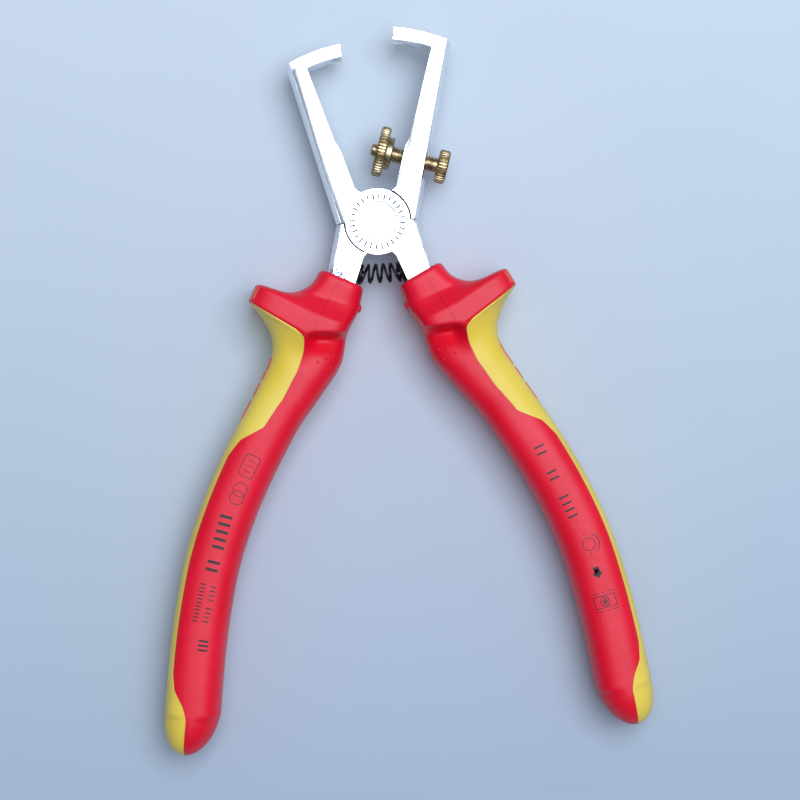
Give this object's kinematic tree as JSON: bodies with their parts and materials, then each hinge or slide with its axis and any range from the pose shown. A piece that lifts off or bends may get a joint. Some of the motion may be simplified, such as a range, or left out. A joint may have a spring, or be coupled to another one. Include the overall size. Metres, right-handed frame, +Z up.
{
  "type": "wire stripper",
  "caption": "Adjustable end-type wire stripping pliers with a spring-opened lap joint, a knurled adjusting screw with lock nut, and two-colour insulated handles.",
  "frame": {"origin": "centre of the tool's footprint, at the height of the finger guards' undersides", "axes": "+Y along the tool towards the jaws, +Z up and parallel to the pivot, +X towards the adjusting screw's head"},
  "size_m": [0.1048, 0.153, 0.02],
  "materials": {
    "chromed_steel": "satin chrome over forged and ground steel",
    "spring_steel": "black oxide",
    "brass": "turned and knurled, slightly tarnished",
    "red_grip": "fine moulded texture",
    "yellow_insulation": "fine moulded texture"
  },
  "bodies": {
    "left_jaw_half": {"left_jaw_lever": "chromed_steel", "pivot_rivet": "chromed_steel", "right_tang_sleeve": "yellow_insulation", "right_grip_body": "red_grip", "right_side_pad": "yellow_insulation", "right_spring_peg": "spring_steel", "opening_spring": "spring_steel"},
    "right_jaw_half": {"right_jaw_lever": "chromed_steel", "left_tang_sleeve": "yellow_insulation", "left_grip_body": "red_grip", "left_side_pad": "yellow_insulation", "left_spring_peg": "spring_steel"},
    "lock_nut": {"lock_nut": "brass"},
    "adjusting_screw": {"adjusting_screw": "brass"}
  },
  "joints": [
    {"name": "jaw_pivot", "type": "hinge", "parent": "left_jaw_half", "child": "right_jaw_half", "pos_m": [0, 0.03506, 0.01], "axis": [0, 0, 1], "range_deg": [0, 22], "stiffness_Nm_per_rad": 0.15, "springref_deg": -8.59, "deforming": ["opening_spring"]},
    {"name": "screw_travel", "type": "slide", "parent": "right_jaw_half", "child": "lock_nut", "axis": [0.9527, -0.304, 0], "range_m": [0, 0.0021]},
    {"name": "screw_turn", "type": "hinge", "parent": "lock_nut", "child": "adjusting_screw", "pos_m": [0.0063, 0.04884, 0.01], "axis": [0.9527, -0.304, 0], "range_deg": [0, 1260]}
  ],
  "couplings": [
    {"joint": "screw_turn", "follows": "screw_travel", "rad_per_m": 10472}
  ]
}
